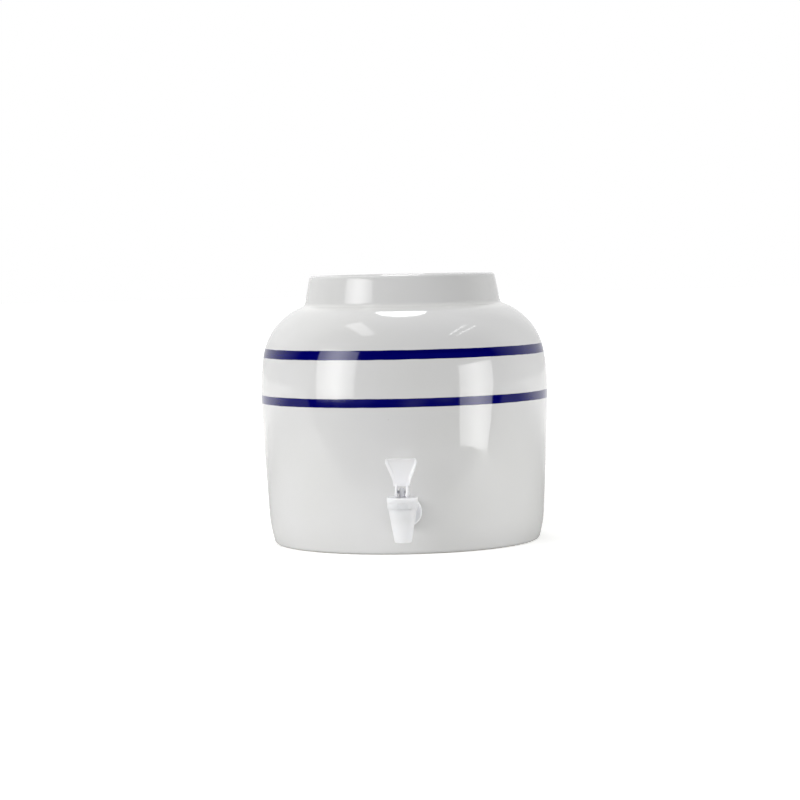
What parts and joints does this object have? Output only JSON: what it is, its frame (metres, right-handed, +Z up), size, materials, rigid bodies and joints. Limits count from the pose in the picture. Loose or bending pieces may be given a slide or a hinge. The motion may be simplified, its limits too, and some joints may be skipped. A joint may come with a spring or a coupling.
{
  "type": "water dispenser",
  "caption": "Glazed porcelain water crock with a wide mouth for a bottle, plain blue bands and a white push tap with a tilting lever, low on its front.",
  "frame": {"origin": "centre of the foot ring, on the surface that the crock stands on", "axes": "+Z up through the mouth, -Y to the front where the tap is, +X to the right of someone who faces the tap"},
  "size_m": [0.2666, 0.3073, 0.2476],
  "materials": {
    "glaze": "clear gloss glaze over white porcelain, unglazed foot ring",
    "cobalt_band": "cobalt blue under gloss glaze",
    "tap_plastic": "moulded white plastic, semi-gloss",
    "silicone": "translucent white silicone",
    "stainless": "drawn stainless steel"
  },
  "bodies": {
    "vessel": {"crock": "glaze", "upper_band": "cobalt_band", "lower_band": "cobalt_band", "tap_body": "tap_plastic", "bonnet": "tap_plastic", "outer_gasket": "silicone", "inner_gasket": "silicone", "clamp_nut": "tap_plastic", "seat_cup": "silicone", "return_spring": "stainless"},
    "stem": {"stem": "tap_plastic"},
    "lever": {"lever": "tap_plastic", "lever_pin": "stainless"}
  },
  "joints": [
    {"name": "stem_lift", "type": "slide", "parent": "vessel", "child": "stem", "axis": [0, 0, 1], "range_m": [0, 0.00314], "deforming": ["seat_cup", "return_spring"]},
    {"name": "lever_tilt", "type": "hinge", "parent": "stem", "child": "lever", "pos_m": [-0.0039, -0.16047, 0.0594], "axis": [0.9925, -0.1219, 0], "range_deg": [0, 45], "stiffness_Nm_per_rad": 0.0128, "springref_deg": -57.3}
  ],
  "couplings": [
    {"joint": "stem_lift", "follows": "lever_tilt", "m_per_rad": 0.004}
  ]
}
